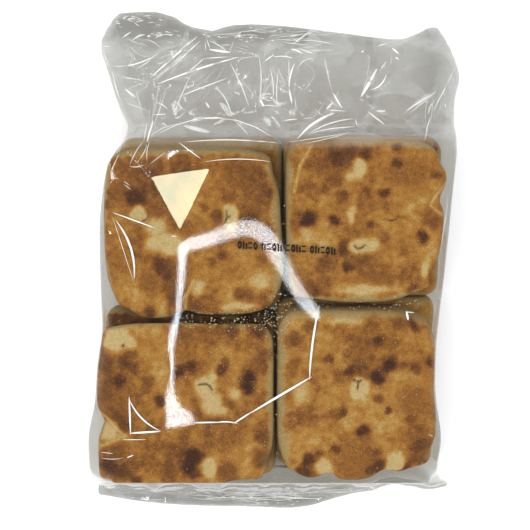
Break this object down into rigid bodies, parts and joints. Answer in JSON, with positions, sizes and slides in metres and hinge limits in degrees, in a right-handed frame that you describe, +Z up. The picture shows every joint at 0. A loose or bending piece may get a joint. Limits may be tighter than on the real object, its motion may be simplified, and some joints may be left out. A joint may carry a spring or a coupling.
{
  "type": "bag of sandwich buns",
  "caption": "Clear sealed film bag, lying flat, drawn tight over layers of soft square sandwich buns, with a crimped seal at each end and slack film past the bread.",
  "frame": {"origin": "under the middle of the bag's outline, on the surface that it lies on", "axes": "+Z up from the shown side, +Y from the sealed end to the empty end, +X across the bag to the right"},
  "size_m": [0.26, 0.3596, 0.0597],
  "materials": {
    "wrapped_bread": "browned bread seen through clear glossy film",
    "film": "clear thin packing film",
    "crust": "browned, faintly shiny bread crust"
  },
  "bodies": {
    "root": {"bag": "wrapped_bread"}
  },
  "joints": []
}
